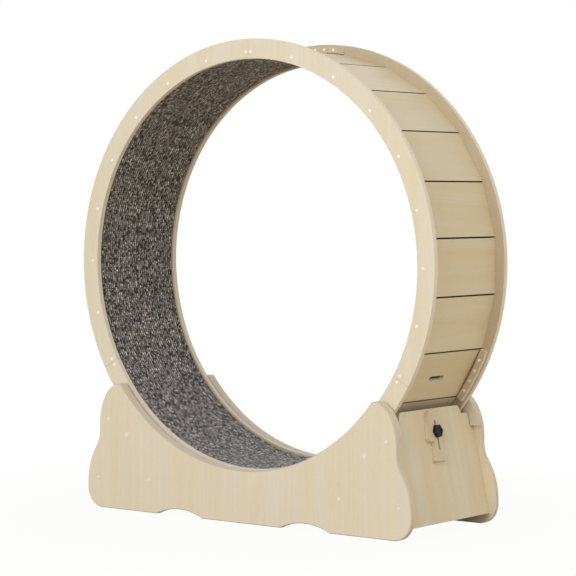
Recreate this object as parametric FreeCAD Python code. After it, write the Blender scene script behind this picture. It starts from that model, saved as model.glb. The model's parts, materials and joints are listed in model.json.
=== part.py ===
import FreeCAD, Part
import math
import os

# Cat exercise wheel: a slatted plywood drum that turns on four grooved rollers
# in a low plywood stand. Millimetres, +Z up, the drum's axis along Y, and the
# origin on the floor below the middle of the drum.

# ---------------------------------------------------------------- drum sizes
wheel_diameter = 1000.0
floor_gap = 75.0            # floor to the lowest point of the drum
track_width = 258.0         # between the two rim rings
ring_width = 44.0           # radial width of a rim ring
ring_thickness = 12.0
ring_segments = 3           # each ring is made of this many butted arcs
first_joint_angle = 90.0    # a butt joint stands at the top
ring_joint_gap = 0.4

slat_count = 24
slat_thickness = 9.0
slat_rim_inset = 25.0       # rim's outer edge in to a slat's outer face
slat_edge_gap = 1.2         # between neighbours at their inner faces

mat_thickness = 5.8
mat_seat_gap = 0.2
mat_side_gap = 0.5
mat_seam_gap = 1.0
mat_seam_angle = 270.0
mat_bends = 48              # the mat is stiff and bends in flats

splice_width = 15.0
splice_rim_inset = 4.5
splice_thickness = 9.0
splice_span = 15.0          # degrees of arc that a splice plate covers

# ------------------------------------------------------------ drum fasteners
slat_screw_radius = 2.0
slat_screw_length = 40.0
joint_screw_spread = 0.9    # degrees each side of a butt joint
splice_screw_radius = 1.75
splice_screw_tip = 1.5      # wood left beyond the tip of a splice screw
splice_screw_angles = (-4.65, -1.55, 1.55, 4.65)
drum_cap_radius = 3.7
drum_cap_height = 0.9
fastener_sides = 6

# --------------------------------------------------------------- stand sizes
rim_side_gap = 6.0          # rims to the roller plates
panel_thickness = 12.0
roller_plate_thickness = 11.0
rim_cover = 42.0            # how far the stand's cut-out covers the rim
roller_plate_width = 87.0   # radial width of the plate that carries the rollers
roller_plate_sides = 12     # its lower edge follows a polygon of this many sides
panel_edge_chamfer = 1.5

end_screw_reach = 40.6      # upper end-panel screw, beyond the rim
end_screw_angle = 47.25     # the same screw, degrees from straight down
end_screw_spacing = 142.2
end_panel_tilt = 13.17      # degrees out from upright
end_panel_foot = 47.0       # lower screw down to the panel's lower edge
end_panel_shoulder = 8.8    # upper screw up to the shoulder
end_panel_play = 2.5        # shoulder sides to the roller plates
rim_notch_gap = 5.5         # rim to the floor of the notch it turns in
tongue_gap = 11.3           # slats to the top edge of an end panel
tongue_taper = 8.0
tongue_corner_radius = 10.0

horn_side = 27.0            # outline beyond the upper end-panel screw
horn_rise = 83.0            # top of a horn above that screw
shoulder_drop = 13.0        # start of the rounded shoulder below that screw
waist_drop = 28.0           # end of the flared foot below that screw
shoulder_radius = 140.0
shoulder_turn = 27.0
crown_turn = 70.0
foot_flare = 37.8
foot_height = 55.0
foot_corner_radius = 45.0
flare_radius = 160.0
middle_foot_half = 112.0
arch_width = 135.0
arch_height = 15.3

rail_distance = 272.0       # cross rails, each side of the middle
rail_height = 75.6
rail_section = (18.0, 40.0)

panel_screw_radius = 2.25
panel_screw_length = 45.0
panel_cap_radius = 4.3
axle_cap_radius = 6.0
panel_cap_height = 1.0

# ------------------------------------------------------------------- rollers
roller_angle = 40.25        # degrees from straight down
roller_tread_radius = 25.0
roller_rim_gap = 0.3        # tread to the edge of the ring
roller_flange_height = 3.0
roller_flange_width = 4.0
roller_flange_sides = 32
roller_side_play = 1.0      # ring to each groove wall
axle_radius = 4.0
race_radius = 6.05          # outside of the bearing's inner ring
race_running_gap = 0.05
seat_gap = 0.02
axle_bore_gap = 0.1
race_overhang = 1.0         # inner ring beyond the roller, towards the middle
nut_across_flats = 13.0
nut_height = 8.0
axle_tip = 2.0

# ---------------------------------------------------------------------- lock
lock_slot_angle = 330.0     # slat with the lock slot
lock_slot_size = (55.0, 12.0)
lock_slot_offset = -5.5     # along the rim from the slat's middle
lock_bolt_drop = 51.0       # end panel's top edge down to the bolt
lock_bolt_radius = 2.5
lock_bolt_head = (7.0, 2.5)
lock_bolt_gap = 0.1
lock_slider_thickness = 9.0
lock_gap = 0.2              # slider to the end panel, and knob to the slider
lock_slit_top = 24.3        # from the bolt
lock_slit_bottom = -40.9
lock_slit_radius = 2.75
lock_top = 46.4             # heights from the bolt, and half widths
lock_top_half = 21.0
lock_body_bottom = -21.0
lock_body_half = 34.5
lock_neck_half = 14.5
lock_foot = -65.0
lock_foot_half = 23.0
lock_outer_round = 10.0
lock_inner_round = 6.5
lock_foot_bevel = 3.0
lock_side_bow = 1.2         # outward at the sides
lock_neck_bow = -2.2        # inward at the neck
knob_corner_radius = 15.2
knob_thickness = 7.5
knob_recess_radius = 9.0
knob_recess_depth = 1.2
knob_edge = 1.2
knob_bore_depth = 5.0
knob_running_gap = 0.05

# -------------------------------------------------------------------- drawing
overcut = 1.0               # how far a cutter runs past the faces that it opens
same_place = 0.01           # points closer than this are one point

# ------------------------------------------------------------- worked-out sizes
wheel_radius = wheel_diameter / 2
axle_height = floor_gap + wheel_radius
ring_inner_radius = wheel_radius - ring_width
ring_inner_y = track_width / 2
ring_outer_y = ring_inner_y + ring_thickness
ring_middle_y = ring_inner_y + ring_thickness / 2
segment_angle = 360.0 / ring_segments
slat_angle = 360.0 / slat_count
slat_outer = wheel_radius - slat_rim_inset
slat_inner = slat_outer - slat_thickness
slat_middle = slat_outer - slat_thickness / 2
slat_width = 2 * slat_inner * math.tan(math.radians(slat_angle / 2)) - slat_edge_gap
slat_corner_radius = math.hypot(slat_outer, slat_width / 2)
mat_outer_radius = slat_inner - mat_seat_gap
splice_outer_radius = wheel_radius - splice_rim_inset
splice_middle_radius = splice_outer_radius - splice_width / 2
splice_inner_y = ring_inner_y - splice_thickness
joint_angles = [first_joint_angle + segment_angle * k for k in range(ring_segments)]

roller_plate_inner_y = ring_outer_y + rim_side_gap
panel_inner_y = roller_plate_inner_y + roller_plate_thickness
stand_half = panel_inner_y + panel_thickness
cut_radius = wheel_radius - rim_cover
roller_plate_radius = cut_radius + roller_plate_width

tilt = math.radians(end_panel_tilt)
outward = FreeCAD.Vector(math.cos(tilt), 0, math.sin(tilt))
upward = FreeCAD.Vector(-math.sin(tilt), 0, math.cos(tilt))
sideways = FreeCAD.Vector(0, 1, 0)
wheel_centre = FreeCAD.Vector(0, 0, axle_height)

roller_orbit = wheel_radius + roller_rim_gap + roller_tread_radius
roller_x = roller_orbit * math.sin(math.radians(roller_angle))
roller_z = axle_height - roller_orbit * math.cos(math.radians(roller_angle))


# -------------------------------------------------------------- small helpers
def point(x, z, y=0.0):
    return FreeCAD.Vector(x, y, z)


def on_wheel(radius, angle, y=0.0):
    """A point at a radius and an angle in degrees from +X about the drum's axis."""
    a = math.radians(angle)
    return point(radius * math.cos(a), axle_height + radius * math.sin(a), y)


def line(a, b):
    return Part.LineSegment(a, b).toShape()


def arc(a, middle, b):
    return Part.Arc(a, middle, b).toShape()


def arc_about(centre, radius, start, end):
    """An arc about a centre in the XZ plane, between two angles in degrees."""
    def at(angle):
        a = math.radians(angle)
        return centre + point(radius * math.cos(a), radius * math.sin(a))
    return arc(at(start), at((start + end) / 2), at(end))


def plate(edges, thickness_vector):
    """Extrude a closed outline."""
    wire = Part.Wire(Part.sortEdges(edges)[0])
    return Part.Face(wire).extrude(thickness_vector)


def arc_band(inner, outer, start, end, y0, y1):
    """A flat curved bar between two radii and two angles about the drum's axis."""
    middle = (start + end) / 2
    edges = [
        arc(on_wheel(inner, start, y0), on_wheel(inner, middle, y0), on_wheel(inner, end, y0)),
        line(on_wheel(inner, end, y0), on_wheel(outer, end, y0)),
        arc(on_wheel(outer, end, y0), on_wheel(outer, middle, y0), on_wheel(outer, start, y0)),
        line(on_wheel(outer, start, y0), on_wheel(inner, start, y0)),
    ]
    return plate(edges, FreeCAD.Vector(0, y1 - y0, 0))


def bar(start, direction, radius, length, sides):
    """A straight bar of regular section, with a corner radius."""
    direction = FreeCAD.Vector(direction).normalize()
    across = FreeCAD.Vector(0, 0, 1).cross(direction)
    if across.Length < 0.5:
        across = FreeCAD.Vector(1, 0, 0)
    across.normalize()
    other = direction.cross(across)
    corners = []
    for k in range(sides + 1):
        a = 2 * math.pi * (k % sides) / sides
        corners.append(start + across * (radius * math.cos(a)) + other * (radius * math.sin(a)))
    return Part.Face(Part.makePolygon(corners)).extrude(direction * length)


def cylinder(start, direction, radius, length):
    return Part.makeCylinder(radius, length, start, direction)


def mirror_x(shape):
    return shape.mirror(FreeCAD.Vector(0, 0, 0), FreeCAD.Vector(1, 0, 0))


def mirror_y(shape):
    return shape.mirror(FreeCAD.Vector(0, 0, 0), FreeCAD.Vector(0, 1, 0))


def both_sides(shapes):
    """The given front-side solids and their mirror images at the back."""
    return shapes + [mirror_y(shape) for shape in shapes]


def four_corners(shape):
    """A solid of the front right corner, copied to all four corners."""
    right = [shape, mirror_y(shape)]
    return right + [mirror_x(s) for s in right]


# ----------------------------------------------------------------------- drum
def ring_segment(index):
    """One arc of the front rim ring, from one butt joint to the next."""
    gap = math.degrees(ring_joint_gap / 2 / wheel_radius)
    start = joint_angles[index] + gap
    end = start + segment_angle - 2 * gap
    return arc_band(ring_inner_radius, wheel_radius, start, end, -ring_outer_y, -ring_inner_y)


def splice_plate(angle):
    """The curved strip behind a butt joint of the front ring."""
    half = splice_span / 2
    inner = splice_outer_radius - splice_width
    return arc_band(inner, splice_outer_radius, angle - half, angle + half,
                    -ring_inner_y, -splice_inner_y)


def turned(shape, angle):
    """Turn a solid that was drawn at +X to its angle about the drum's axis."""
    shape.rotate(wheel_centre, FreeCAD.Vector(0, -1, 0), angle)
    return shape


def slat():
    corner = point(slat_inner, axle_height - slat_width / 2, -track_width / 2)
    return Part.makeBox(slat_thickness, track_width, slat_width, corner)


def lock_slot():
    """The round-ended slot through one slat."""
    length, height = lock_slot_size
    radius = height / 2
    reach = length / 2 - radius
    middle = point(slat_inner - overcut, axle_height + lock_slot_offset)
    depth = slat_thickness + 2 * overcut
    cutter = Part.makeBox(depth, 2 * reach, height, middle + point(0, -radius, -reach))
    for side in (-1, 1):
        end = middle + point(0, 0, side * reach)
        cutter = cutter.fuse(cylinder(end, FreeCAD.Vector(1, 0, 0), radius, depth))
    return cutter


def mat_face(radius, y):
    """A regular outline about the drum's axis, with a corner at each bend of the mat."""
    corners = [on_wheel(radius, 360.0 * k / mat_bends, y) for k in range(mat_bends)]
    return Part.Face(Part.makePolygon(corners + corners[:1]))


def running_mat():
    """The mat strip that lines the drum, bent round until its ends nearly meet."""
    gap = math.degrees(mat_seam_gap / 2 / mat_outer_radius)
    half = track_width / 2 - mat_side_gap
    inner = mat_outer_radius - mat_thickness
    outside = mat_face(mat_outer_radius, -half)
    inside = mat_face(inner, -half)
    seam = arc_band(inner - mat_thickness, mat_outer_radius + mat_thickness,
                    mat_seam_angle - gap, mat_seam_angle + gap, -half, half)
    return outside.cut(inside).extrude(sideways * (2 * half)).cut(seam)


def slat_screw_positions():
    """Angles of the screws through a ring: one for each slat, two at a butt joint."""
    angles = []
    for k in range(slat_count):
        angle = slat_angle * k
        at_joint = any(abs((angle - joint + 180) % 360 - 180) < 0.5 for joint in joint_angles)
        spread = (-joint_screw_spread, joint_screw_spread) if at_joint else (0.0,)
        angles += [angle + s for s in spread]
    return angles


def splice_screw_positions():
    return [joint + offset for joint in joint_angles for offset in splice_screw_angles]


def slat_screw(angle):
    """A screw from the outside of the front ring into the end of a slat."""
    head = on_wheel(slat_middle, angle, -ring_outer_y)
    return bar(head, sideways, slat_screw_radius, slat_screw_length, fastener_sides)


def splice_screw(angle):
    """A screw from the inside of a front splice plate into the ring."""
    head = on_wheel(splice_middle_radius, angle, -splice_inner_y)
    length = splice_thickness + ring_thickness - splice_screw_tip
    return bar(head, -sideways, splice_screw_radius, length, fastener_sides)


def drum_cap(radius, angle, y):
    """A cap over a screw head, with its outer face at y."""
    return bar(on_wheel(radius, angle, y), sideways, drum_cap_radius, drum_cap_height,
               fastener_sides)


def drum_parts():
    parts = {}
    for k in range(ring_segments):
        front = ring_segment(k)
        parts["front_ring_segment_%d" % (k + 1)] = front
        parts["back_ring_segment_%d" % (k + 1)] = mirror_y(front)
    parts["splice_plates"] = both_sides([splice_plate(a) for a in joint_angles])

    for k in range(slat_count):
        angle = slat_angle * k
        name = "slat_%02d" % (k + 1)
        board = slat()
        if angle == lock_slot_angle:
            name = "lock_slat"
            board = board.cut(lock_slot())
        parts[name] = turned(board, angle)
    parts["running_mat"] = running_mat()

    slat_screw_angles = slat_screw_positions()
    parts["slat_screws"] = both_sides([slat_screw(a) for a in slat_screw_angles])
    parts["ring_screw_caps"] = both_sides([
        drum_cap(slat_middle, a, -ring_outer_y - drum_cap_height) for a in slat_screw_angles])
    joint_screw_angles = splice_screw_positions()
    parts["splice_screws"] = both_sides([splice_screw(a) for a in joint_screw_angles])
    parts["splice_screw_caps"] = both_sides([
        drum_cap(splice_middle_radius, a, -splice_inner_y) for a in joint_screw_angles])
    return parts


# ---------------------------------------------------------------------- stand
upper_screw = on_wheel(wheel_radius + end_screw_reach, end_screw_angle - 90)
lower_screw = upper_screw - upward * end_screw_spacing
end_panel_middle = (upper_screw - wheel_centre).dot(outward)
end_panel_inner = end_panel_middle - panel_thickness / 2
end_panel_outer = end_panel_middle + panel_thickness / 2
upper_screw_level = (upper_screw - wheel_centre).dot(upward)


def on_end_panel(offset, level, y=0.0):
    """A point of the right end: out from the drum's axis, up along the panel, and sideways."""
    return wheel_centre + outward * offset + upward * level + sideways * y


def level_at_radius(radius):
    """The level on an end panel's inner face that lies at a radius from the drum's axis."""
    return -math.sqrt(radius ** 2 - end_panel_inner ** 2)


end_panel_top = level_at_radius(slat_corner_radius + tongue_gap)
notch_floor = level_at_radius(wheel_radius + rim_notch_gap)
shoulder_level = upper_screw_level + end_panel_shoulder
end_panel_bottom = upper_screw_level - end_screw_spacing - end_panel_foot


def half_outline():
    """Edges of the right half of a side panel's outline, from the middle foot to the cut-out."""
    horn_x = upper_screw.x + horn_side
    foot_x = horn_x + foot_flare
    waist_z = upper_screw.z - waist_drop
    shoulder_z = upper_screw.z - shoulder_drop
    top_z = upper_screw.z + horn_rise
    arch_end = middle_foot_half + arch_width

    corner = point(foot_x - foot_corner_radius, foot_corner_radius)
    rise = waist_z - foot_height
    flare_turn = 2 * math.degrees(math.atan2(foot_flare, rise))
    hollow_radius = rise / math.sin(math.radians(flare_turn)) - flare_radius
    flare_centre = point(foot_x - flare_radius, foot_height)
    hollow_centre = point(horn_x + hollow_radius, waist_z)

    shoulder_centre = point(horn_x - shoulder_radius, shoulder_z)
    turn = math.radians(shoulder_turn)
    shoulder_end = shoulder_centre + point(
        shoulder_radius * math.cos(turn), shoulder_radius * math.sin(turn))
    crown_end = math.radians(crown_turn)
    crown_radius = (top_z - shoulder_end.z) / (math.sin(crown_end) - math.sin(turn))
    crown_centre = shoulder_end - point(crown_radius * math.cos(turn), crown_radius * math.sin(turn))
    crown_x = crown_centre.x + crown_radius * math.cos(crown_end)
    cut_x = math.sqrt(cut_radius ** 2 - (axle_height - top_z) ** 2)

    return [
        line(point(0, 0), point(middle_foot_half, 0)),
        arc(point(middle_foot_half, 0), point(middle_foot_half + arch_width / 2, arch_height),
            point(arch_end, 0)),
        line(point(arch_end, 0), point(corner.x, 0)),
        arc_about(corner, foot_corner_radius, -90, 0),
        line(point(foot_x, foot_corner_radius), point(foot_x, foot_height)),
        arc_about(flare_centre, flare_radius, 0, flare_turn),
        arc_about(hollow_centre, hollow_radius, 180 + flare_turn, 180),
        line(point(horn_x, waist_z), point(horn_x, shoulder_z)),
        arc_about(shoulder_centre, shoulder_radius, 0, shoulder_turn),
        arc_about(crown_centre, crown_radius, shoulder_turn, crown_turn),
        line(point(crown_x, top_z), point(cut_x, top_z)),
        arc_about(wheel_centre, cut_radius,
                  math.degrees(math.atan2(top_z - axle_height, cut_x)), -90),
    ]


def stand_blank(y0, y1):
    """The side panel's outline as a plain board between two faces."""
    right = half_outline()
    middle = line(point(0, 0), point(0, axle_height - cut_radius))
    half = plate(right + [middle], FreeCAD.Vector(0, y1 - y0, 0))
    half.translate(FreeCAD.Vector(0, y0, 0))
    return half.fuse(mirror_x(half)).removeSplitter()


def axle_cylinder(start_y, end_y, radius):
    """A cylinder about the front right axle, between two places along it."""
    return cylinder(point(roller_x, roller_z, start_y), sideways, radius, end_y - start_y)


def front_side_panel():
    board = stand_blank(-stand_half, -panel_inner_y)
    rounded = [e for e in board.Edges
               if all(abs(v.Y + stand_half) < same_place for v in e.Vertexes)]
    board = board.makeChamfer(panel_edge_chamfer, rounded)
    hole = axle_cylinder(-stand_half - overcut, -panel_inner_y + overcut,
                         axle_radius + axle_bore_gap)
    return board.cut(hole).cut(mirror_x(hole))


def front_roller_plate():
    """The layer of plywood behind the front panel, which carries two rollers."""
    board = stand_blank(-panel_inner_y, -roller_plate_inner_y)
    span = 4 * wheel_radius
    depth = 2 * stand_half
    low_z = on_end_panel(end_panel_outer, shoulder_level).z + lock_gap
    side_angle = 360.0 / roller_plate_sides
    corner_radius = roller_plate_radius / math.cos(math.radians(side_angle / 2))
    corners = [on_wheel(corner_radius, side_angle * (k + 0.5), -stand_half)
               for k in range(roller_plate_sides)]
    low_band = Part.Face(Part.makePolygon(corners + corners[:1])).extrude(sideways * depth)
    horns = Part.makeBox(span, depth, span, point(-span / 2, low_z, -stand_half))
    board = board.common(low_band.fuse(horns))
    beyond = Part.makeBox(span, depth, span, point(0, -span / 2, -stand_half))
    beyond.rotate(FreeCAD.Vector(0, 0, 0), FreeCAD.Vector(0, -1, 0), end_panel_tilt)
    beyond.translate(on_end_panel(end_panel_inner, 0))
    under = Part.makeBox(span, depth, span, point(0, low_z - span, -stand_half))
    beyond = beyond.common(under)
    hole = axle_cylinder(-panel_inner_y - overcut, -roller_plate_inner_y + overcut,
                         axle_radius + axle_bore_gap)
    cutter = beyond.fuse(hole)
    return board.cut(cutter).cut(mirror_x(cutter))


def end_panel():
    """The right end panel: a slanted board with a tongue between the two rim notches."""
    tongue_foot = splice_inner_y
    tongue_top = tongue_foot - tongue_taper
    shoulder_side = roller_plate_inner_y - end_panel_play
    side = [
        (tongue_top, end_panel_top),
        (tongue_foot, notch_floor),
        (shoulder_side, notch_floor),
        (shoulder_side, shoulder_level),
        (panel_inner_y, shoulder_level),
        (panel_inner_y, end_panel_bottom),
    ]
    outline = side + [(-y, level) for y, level in reversed(side)]
    corners = [on_end_panel(end_panel_inner, level, y) for y, level in outline]
    wire = Part.makePolygon(corners + corners[:1])
    board = Part.Face(wire).extrude(outward * panel_thickness)
    ends = [corners[0], corners[-1]]
    tongue_corners = []
    for edge in board.Edges:
        if edge.Length > panel_thickness + same_place:
            continue
        for corner in ends:
            if any(v.Point.distanceToPoint(corner) < same_place for v in edge.Vertexes):
                tongue_corners.append(edge)
    return board.makeFillet(tongue_corner_radius, tongue_corners)


def cross_rail():
    width, height = rail_section
    corner = point(rail_distance - width / 2, rail_height - height / 2, -panel_inner_y)
    return Part.makeBox(width, 2 * panel_inner_y, height, corner)


def panel_fastener_points():
    """Where the front panel is screwed on, on its right half."""
    return [
        point(upper_screw.x, upper_screw.z, -stand_half),
        point(lower_screw.x, lower_screw.z, -stand_half),
        point(rail_distance, rail_height, -stand_half),
    ]


def panel_cap(place, radius):
    start = place - sideways * panel_cap_height
    return bar(start, sideways, radius, panel_cap_height, fastener_sides)


def stand_parts():
    parts = {}
    panel = front_side_panel()
    parts["front_side_panel"] = panel
    parts["back_side_panel"] = mirror_y(panel)
    roller_plate = front_roller_plate()
    parts["front_roller_plate"] = roller_plate
    parts["back_roller_plate"] = mirror_y(roller_plate)
    board = end_panel()
    hole_start = on_end_panel(end_panel_inner - overcut, lock_level)
    lock_hole = cylinder(hole_start, outward, lock_bolt_radius + lock_bolt_gap,
                         panel_thickness + 2 * overcut)
    parts["right_end_panel"] = board.cut(lock_hole)
    parts["left_end_panel"] = mirror_x(board)
    parts["right_cross_rail"] = cross_rail()
    parts["left_cross_rail"] = mirror_x(cross_rail())

    screws = []
    caps = four_corners(panel_cap(point(roller_x, roller_z, -stand_half), axle_cap_radius))
    for place in panel_fastener_points():
        screw = bar(place, sideways, panel_screw_radius, panel_screw_length, fastener_sides)
        screws += four_corners(screw)
        caps += four_corners(panel_cap(place, panel_cap_radius))
    parts["panel_screws"] = screws
    parts["panel_screw_caps"] = caps
    return parts


# -------------------------------------------------------------------- rollers
tread_half = ring_thickness / 2 + roller_side_play
roller_half = tread_half + roller_flange_width
race_end = roller_half + race_overhang
axle_tip_y = ring_middle_y - race_end - nut_height - axle_tip


def on_axle(outboard):
    """A point on the front right axle, at a distance outboard of the ring's middle."""
    return point(roller_x, roller_z, -ring_middle_y - outboard)


def sleeve(bore, outside, inboard_end, outboard_end):
    """A round sleeve about the front right axle, between two distances from the ring's middle."""
    length = outboard_end - inboard_end
    start = on_axle(outboard_end)
    return cylinder(start, sideways, outside, length).cut(cylinder(start, sideways, bore, length))


def roller():
    """A grooved roller, its tyre moulded round the outer ring of its ball bearing."""
    bore_radius = race_radius + race_running_gap
    flange_radius = roller_tread_radius + roller_flange_height
    body = sleeve(bore_radius, roller_tread_radius, -roller_half, roller_half)
    for outer_end in (-tread_half, roller_half):
        flange = bar(on_axle(outer_end), sideways, flange_radius, roller_flange_width,
                     roller_flange_sides)
        bore = cylinder(on_axle(outer_end), sideways, bore_radius, roller_flange_width)
        body = body.fuse(flange.cut(bore))
    return body.removeSplitter()


def roller_parts():
    parts = {}
    names = ("front_right", "back_right", "front_left", "back_left")
    for name, tyre in zip(names, four_corners(roller())):
        parts[name + "_roller"] = tyre

    inner_ring = sleeve(axle_radius + seat_gap, race_radius, -race_end,
                        roller_plate_inner_y - ring_middle_y)
    parts["bearing_inner_rings"] = four_corners(inner_ring)
    parts["axle_studs"] = four_corners(axle_cylinder(-stand_half, -axle_tip_y, axle_radius))

    nut_y = -(axle_tip_y + axle_tip + nut_height)
    nut = bar(point(roller_x, roller_z, nut_y), sideways, nut_across_flats / math.sqrt(3),
              nut_height, 6)
    nut = nut.cut(axle_cylinder(nut_y - overcut, nut_y + nut_height + overcut,
                                axle_radius + seat_gap))
    parts["axle_nuts"] = four_corners(nut)
    return parts


# ----------------------------------------------------------------------- lock
lock_level = end_panel_top - lock_bolt_drop
slider_back = end_panel_outer + lock_gap
slider_front = slider_back + lock_slider_thickness
knob_back = slider_front + lock_gap
knob_front = knob_back + knob_thickness


def rounded(a, tip, b):
    """An arc that rounds the corner at tip between two points."""
    return arc(a, (a + tip * 2 + b) * 0.25, b)


def bowed(a, b, bow):
    """An arc from a down to b that swells by bow from the straight line."""
    swell = (b - a).cross(outward).normalize() * -bow
    return arc(a, (a + b) * 0.5 + swell, b)


def slider_outline():
    """Right half of the slider, from the middle of its top to the middle of its foot."""
    def at(y, rise):
        return on_end_panel(slider_back, lock_level + rise, y)
    crown = [at(lock_top_half - lock_outer_round, lock_top), at(lock_top_half, lock_top),
             at(lock_top_half, lock_top - lock_outer_round)]
    shoulder = [at(lock_body_half, lock_body_bottom + lock_outer_round),
                at(lock_body_half, lock_body_bottom),
                at(lock_body_half - lock_outer_round, lock_body_bottom)]
    neck = [at(lock_neck_half + lock_inner_round, lock_body_bottom),
            at(lock_neck_half, lock_body_bottom),
            at(lock_neck_half, lock_body_bottom - lock_inner_round)]
    foot_side = at(lock_foot_half, lock_foot + lock_foot_bevel)
    foot_end = at(lock_foot_half - lock_foot_bevel, lock_foot)
    return [
        line(at(0, lock_top), crown[0]),
        rounded(*crown),
        bowed(crown[2], shoulder[0], lock_side_bow),
        rounded(*shoulder),
        line(shoulder[2], neck[0]),
        rounded(*neck),
        bowed(neck[2], foot_side, lock_neck_bow),
        line(foot_side, foot_end),
        line(foot_end, at(0, lock_foot)),
    ]


def lock_slider():
    """The bell-shaped bolt plate: it slides up into the slot of the slat."""
    right = slider_outline()
    left = [mirror_y(edge) for edge in right]
    board = plate(right + left, outward * lock_slider_thickness)
    upper = lock_level + lock_slit_top - lock_slit_radius
    lower = lock_level + lock_slit_bottom + lock_slit_radius
    start = slider_back - overcut
    depth = lock_slider_thickness + 2 * overcut
    corners = [
        on_end_panel(start, lower, -lock_slit_radius),
        on_end_panel(start, upper, -lock_slit_radius),
        on_end_panel(start, upper, lock_slit_radius),
        on_end_panel(start, lower, lock_slit_radius),
    ]
    slit = Part.Face(Part.makePolygon(corners + corners[:1])).extrude(outward * depth)
    for level in (lower, upper):
        slit = slit.fuse(cylinder(on_end_panel(start, level), outward, lock_slit_radius, depth))
    return board.cut(slit)


def hexagon(offset, corner_radius):
    corners = []
    for k in range(7):
        a = math.radians(60 * (k % 6))
        corners.append(on_end_panel(offset, lock_level + corner_radius * math.sin(a),
                                    corner_radius * math.cos(a)))
    return Part.makePolygon(corners)


def lock_knob():
    """A hexagonal clamping knob with bevelled edges and a hexagonal recess in its face."""
    waist = knob_front - knob_edge
    body = Part.Face(hexagon(knob_back, knob_corner_radius)).extrude(outward * (waist - knob_back))
    bevel = Part.makeLoft([hexagon(waist, knob_corner_radius),
                           hexagon(knob_front, knob_corner_radius - knob_edge)], True, True)
    recess = Part.Face(hexagon(knob_front - knob_recess_depth, knob_recess_radius)).extrude(
        outward * (knob_recess_depth + overcut))
    bore = cylinder(on_end_panel(knob_back - overcut, lock_level), outward,
                    lock_bolt_radius + knob_running_gap, knob_bore_depth + overcut)
    return body.fuse(bevel).removeSplitter().cut(recess).cut(bore)


def lock_bolt():
    """The bolt that stays in the end panel while the slider moves along it."""
    head_radius, head_height = lock_bolt_head
    head = bar(on_end_panel(end_panel_inner - head_height, lock_level), outward,
               head_radius, head_height, 6)
    reach = knob_back + knob_bore_depth - lock_gap - end_panel_inner
    shank = cylinder(on_end_panel(end_panel_inner, lock_level), outward, lock_bolt_radius, reach)
    return head.fuse(shank)


def lock_parts():
    return {"lock_slider": lock_slider(), "lock_knob": lock_knob(), "lock_bolt": lock_bolt()}


# --------------------------------------------------------------------- export
def export(name, solids):
    shape = Part.makeCompound(solids) if isinstance(solids, list) else solids
    shape.exportStep("parts/%s.step" % name)


def main():
    os.makedirs("parts", exist_ok=True)
    for group in (drum_parts, stand_parts, roller_parts, lock_parts):
        for name, solids in group().items():
            export(name, solids)


main()
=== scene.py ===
import json
import math
from collections import namedtuple

import bmesh
import bpy
from bpy.props import FloatProperty, FloatVectorProperty, IntProperty, PointerProperty
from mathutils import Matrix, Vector


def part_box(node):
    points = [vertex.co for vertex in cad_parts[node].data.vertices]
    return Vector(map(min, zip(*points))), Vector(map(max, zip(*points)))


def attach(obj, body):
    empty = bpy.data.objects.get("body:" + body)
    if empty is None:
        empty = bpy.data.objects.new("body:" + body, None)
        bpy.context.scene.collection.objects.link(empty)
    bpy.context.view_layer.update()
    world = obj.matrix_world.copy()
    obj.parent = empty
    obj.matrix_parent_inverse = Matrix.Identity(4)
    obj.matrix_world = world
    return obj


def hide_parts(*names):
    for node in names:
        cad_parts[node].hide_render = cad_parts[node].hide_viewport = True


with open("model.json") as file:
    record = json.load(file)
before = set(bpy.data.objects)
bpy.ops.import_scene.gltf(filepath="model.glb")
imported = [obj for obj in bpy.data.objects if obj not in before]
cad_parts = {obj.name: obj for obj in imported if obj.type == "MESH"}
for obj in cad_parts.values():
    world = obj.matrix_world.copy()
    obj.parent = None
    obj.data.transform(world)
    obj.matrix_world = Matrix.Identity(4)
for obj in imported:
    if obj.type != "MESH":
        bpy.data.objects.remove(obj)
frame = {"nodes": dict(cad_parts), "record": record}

bl_info = {
    "name": "Cat exercise wheel",
    "version": (1, 0, 0),
    "blender": (4, 5, 0),
    "location": "View3D > Sidebar > Wheel",
    "description": "Dresses a plywood cat exercise wheel: boards, mat, caps, rollers, lock, studio",
    "category": "Object",
}

BODY = frame["record"]["behaviour"]["bodies"]
JOINT = {joint["name"]: joint for joint in frame["record"]["behaviour"]["joints"]}
NODES = frame["nodes"]
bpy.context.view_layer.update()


def middle_of(node):
    low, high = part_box(node)
    return (low + high) / 2


WHEEL_CENTRE = middle_of("running_mat")
RIM_ARCS = [name for name in BODY["drum"] if "ring_segment" in name]
PLAIN_SLATS = [name for name in BODY["drum"] if name.startswith("slat_") and name != "slat_screws"]
SLATS = PLAIN_SLATS + ["lock_slat"]


# ------------------------------------------------------------------ settings
class WoodSettings(bpy.types.PropertyGroup):
    veneer: FloatProperty(
        name="Veneer", description="Thickness of one veneer of the plywood",
        default=0.0015, unit="LENGTH", precision=4)
    band: FloatProperty(
        name="Grain band", description="Usual width of a band of the face grain",
        default=0.045, unit="LENGTH", precision=3)
    eased_edge: FloatProperty(
        name="Eased edge", description="Radius to which sandpaper rounds a board's edges",
        default=0.0009, unit="LENGTH", precision=4)


class MatSettings(bpy.types.PropertyGroup):
    rib_pitch: FloatProperty(
        name="Rib pitch", description="Distance from one rib of the mat to the next",
        default=0.0071, unit="LENGTH", precision=4)
    rib_height: FloatProperty(
        name="Rib height", description="How far a rib stands above the groove beside it",
        default=0.0008, unit="LENGTH", precision=4)
    thickness: FloatProperty(
        name="Thickness", description="Thickness of the mat on its backing",
        default=0.0056, unit="LENGTH", precision=4)
    seam_gap: FloatProperty(
        name="Seam gap", description="Gap where the two ends of the mat meet",
        default=0.001, unit="LENGTH", precision=4)
    seam_angle: FloatProperty(
        name="Seam place", description="Where the ends meet, about the drum's axis",
        default=math.radians(270), subtype="ANGLE")
    steps: IntProperty(
        name="Steps round", description="Lengths that the mat is divided into", default=264)


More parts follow.
